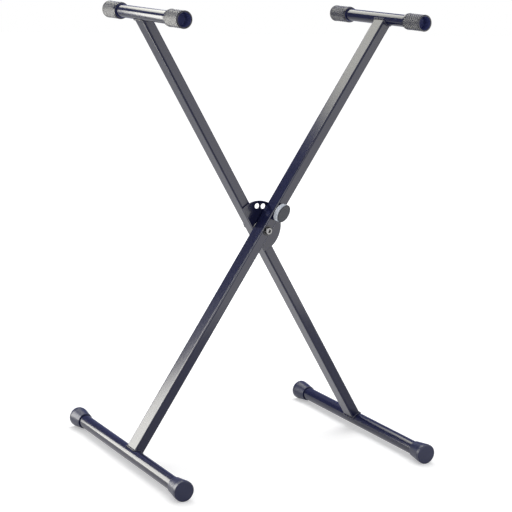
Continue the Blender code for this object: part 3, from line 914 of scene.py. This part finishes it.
def makeKnob():
    low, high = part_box("pull_knob")
    k, centre, place = knob, middle("lock_pin"), legFrames["front"]
    inside, floor, flank = high.y - k["recessDepth"], low.y + k["frontWall"], low.y + k["slotEnd"]
    corners = [
        (low.y + k["dish"], k["rim"] + k["soft"], 0.0), (low.y + k["dish"], k["rim"], k["soft"] / 2),
        (low.y, k["rim"] - k["soft"], k["soft"] / 2), (low.y, 0.0, k["edge"]), (low.y + k["slotStart"], 0.0, k["soft"]),
        (low.y + k["slotStart"], k["slotDepth"], 0.0), (flank, k["slotDepth"], 0.0), (flank, 0.0, k["soft"]),
        (high.y, 0.0, k["backEdge"]), (high.y, k["wall"], k["soft"]), (inside, k["wall"], 0.0),
    ]
    work = bmesh.new()
    rings = [[work.verts.new((0.0, low.y + k["dish"], 0.0))]]
    rings += [knobRing(work, y, inset) for y, inset in filleted(corners, False, 5)]
    rings += [roundRing(work, y, lock["shankBore"]) for y in (inside, floor)]
    rings.append([work.verts.new((0.0, floor, 0.0))])
    skin(work, rings, False)
    made = addObject("pullKnob", finishMesh(work, "pull_knob"))
    width, length = k["halfWidth"], k["halfLength"]
    applyTree(made, knobRibs, {
        "Half width": width, "Half length": length, "Evenness": (length - width) / (length + width) / 2,
        "Ribs": float(k["ribs"]), "Depth": k["depth"], "Low": flank - k["ribMargin"],
        "High": high.y - k["ribMargin"], "Rim share": k["rimShare"], "Material": knobPlastic,
    })
    # the ribbed flank is painted a pale highlight
    paintShadeAndHighlight(made, lambda p: flank - gap < p.y < high.y and math.hypot(p.x / width, p.z / length) > k["flankShare"])
    along = Matrix((place.across, Vector((0.0, 1.0, 0.0)), place.up)).transposed().to_4x4()
    made.data.transform(Matrix.Translation((centre.x, 0.0, centre.z)) @ along)
    settle(made, knobPlastic, "pull_pin", "knob_plastic", "pull_knob")


makeHousing()
makePin()
makeSpring()
makeKnob()
for node in ("rear_pivot_bush", "front_pivot_bush"):    # hidden pieces keep their solids
    nodes[node].data.materials.clear()
    nodes[node].data.materials.append(plainSteel)
print("stage: lock")


# floor, light and camera

studio = {
    "floorSize": 12.0, "floorShade": 0.80, "nearGlow": 0.36, "farGlow": 0.56, "glowStart": 0.35, "glowEnd": 1.5,
    "mirroredGlow": 0.45, "mirroredReach": 1.6, "worldFill": 0.60,
    "overhead": {"place": (0.6, 1.2, 3.2), "size": 2.6, "power": 60.0},
    "leftPanel": {
        "from": (-0.62, 0.82), "to": (-1.485, 0.334), "low": 0.0, "high": 0.964, "radiance": 10.4,
        "tint": (1.0, 0.985, 0.90),
    },
    "backPanel": {
        "from": (-0.91, 2.00), "to": (0.80, 2.00), "low": 1.71, "high": 2.6, "radiance": 5.2,
        "tint": (1.0, 0.985, 0.82),
    },
    "frontPanel": {
        "from": (0.18, -0.95), "to": (1.82, -0.95), "low": 0.0, "high": 0.9, "radiance": 2.7,
        "tint": (1.0, 0.985, 0.93),
    },
    "keyPanel": {
        "from": (-1.5, -0.55), "to": (-0.9, -1.25), "low": 1.0, "high": 1.7, "radiance": 7.0,
        "tint": (0.96, 0.98, 1.0),
    },
    "flag": {"y": 2.2, "x": 3.0, "low": 0.05, "high": 3.0, "shade": (0.27, 0.29, 0.56)},
}
camera = {
    "place": (-1.5048, -2.5873, 0.5533), "heading": -30.17, "tilt": 11.55, "roll": 2.55, "lens": 108.56,
}


def makeWorld():
    world = bpy.data.worlds.new("studio")
    bpy.context.scene.world = world
    world.use_nodes = True
    board = Board(world.node_tree)
    rays = board.add("ShaderNodeLightPath")
    shown = rays["Is Camera Ray"]
    for kind in ("Is Glossy Ray", "Is Transmission Ray"):
        shown = shown.do("MAXIMUM", shown, rays[kind])
    backdrop = world.node_tree.nodes["Background"]
    backdrop.inputs["Color"].default_value = (1.0, 1.0, 1.0, 1.0)
    board.plug(backdrop.inputs["Strength"], shown * (1.0 - studio["worldFill"]) + studio["worldFill"])


def makeFloor():
    size = studio["floorSize"]
    work = bmesh.new()
    bmesh.ops.create_grid(work, x_segments=1, y_segments=1, size=size)
    mesh = bpy.data.meshes.new("floor")
    work.to_mesh(mesh)
    work.free()
    made = addObject("floor", mesh)
    material = bpy.data.materials.new("paleFloor")
    material.use_nodes = True
    board = Board(material.node_tree)
    shader = material.node_tree.nodes["Principled BSDF"]
    shade = studio["floorShade"]
    shader.inputs["Base Color"].default_value = (shade, shade, shade, 1.0)
    shader.inputs["Roughness"].default_value = 0.9
    shader.inputs["Emission Strength"].default_value = 1.0
    # what the camera sees is lifted to white, least near the stand, where the lamps do it and the shadow has
    # to show, and what the paint mirrors grows darker away from the stand
    rays = board.add("ShaderNodeLightPath")
    split = board.add("ShaderNodeSeparateXYZ", None, {0: board.add("ShaderNodeTexCoord")["Object"]})
    away = (split["X"] * split["X"] + split["Y"] * split["Y"]) ** 0.5
    rise = ((away - studio["glowStart"]) / (studio["glowEnd"] - studio["glowStart"])).clamped()
    shown = rise * (studio["farGlow"] - studio["nearGlow"]) + studio["nearGlow"]
    mirrored = (1 - away / studio["mirroredReach"]).clamped() * studio["mirroredGlow"]
    glow = rays["Is Camera Ray"] * shown + rays["Is Glossy Ray"] * mirrored
    board.plug(shader.inputs["Emission Color"], board.add("ShaderNodeCombineXYZ", None, {0: glow, 1: glow, 2: glow})[0])
    made.data.materials.append(material)


def makeLamp(name, look):
    lamp = bpy.data.lights.new(name, "AREA")
    lamp.size = look["size"]
    lamp.energy = look["power"]
    made = addObject(name, lamp)
    made.location = look["place"]
    made.rotation_euler = (pivot - made.location).to_track_quat("-Z", "Y").to_euler()


def makePanel(name, look):
    # an upright panel of light that the paint mirrors; it adds nothing to the general light
    start, end = Vector((*look["from"], look["low"])), Vector((*look["to"], look["high"]))
    centre, width, height = (start + end) / 2, math.dist(look["from"], look["to"]), end.z - start.z
    lamp = bpy.data.lights.new(name, "AREA")
    lamp.shape, lamp.size, lamp.size_y = "RECTANGLE", width, height
    lamp.energy = look["radiance"] * math.pi * width * height
    lamp.color = look["tint"]
    made = addObject(name, lamp)
    made.location = centre
    facing = Vector((start.y - end.y, end.x - start.x, 0.0)).normalized()
    if facing.dot(pivot - centre) < 0:
        facing.negate()
    made.rotation_euler = facing.to_track_quat("-Z", "Y").to_euler()
    made.visible_camera = made.visible_diffuse = False


def makeFlag(look):
    # a dark board behind the stand, seen only in its paint
    work = bmesh.new()
    corners = ((-look["x"], "low"), (look["x"], "low"), (look["x"], "high"), (-look["x"], "high"))
    work.faces.new([work.verts.new((x, look["y"], look[level])) for x, level in corners])
    mesh = bpy.data.meshes.new("flag")
    work.to_mesh(mesh)
    work.free()
    made = addObject("flag", mesh)
    material = bpy.data.materials.new("darkBoard")
    material.use_nodes = True
    shader = material.node_tree.nodes["Principled BSDF"]
    shader.inputs["Base Color"].default_value = (*look["shade"], 1.0)
    shader.inputs["Roughness"].default_value = 1.0
    mesh.materials.append(material)
    made.visible_camera = made.visible_diffuse = made.visible_transmission = made.visible_shadow = False


def makeCamera():
    heading, tilt, roll = (math.radians(camera[k]) for k in ("heading", "tilt", "roll"))
    ahead = Vector((-math.sin(heading) * math.cos(tilt), math.cos(heading) * math.cos(tilt), -math.sin(tilt)))
    right = Vector((math.cos(heading), math.sin(heading), 0.0))
    up = right.cross(ahead)
    right, up = right * math.cos(roll) + up * math.sin(roll), up * math.cos(roll) - right * math.sin(roll)
    eye = bpy.data.cameras.new("camera")
    eye.lens, eye.sensor_width = camera["lens"], 36.0
    eye.clip_end = 50.0
    made = addObject("camera", eye)
    turn = Matrix((right, up, -ahead)).transposed().to_4x4()
    made.matrix_world = Matrix.Translation(pivot + Vector(camera["place"])) @ turn
    bpy.context.scene.camera = made


makeWorld()
makeFloor()
makeLamp("overhead", studio["overhead"])
for panel in ("leftPanel", "backPanel", "frontPanel", "keyPanel"):
    makePanel(panel, studio[panel])
makeFlag(studio["flag"])
makeCamera()
bpy.context.scene.view_settings.view_transform = "Standard"
print("stage: studio")
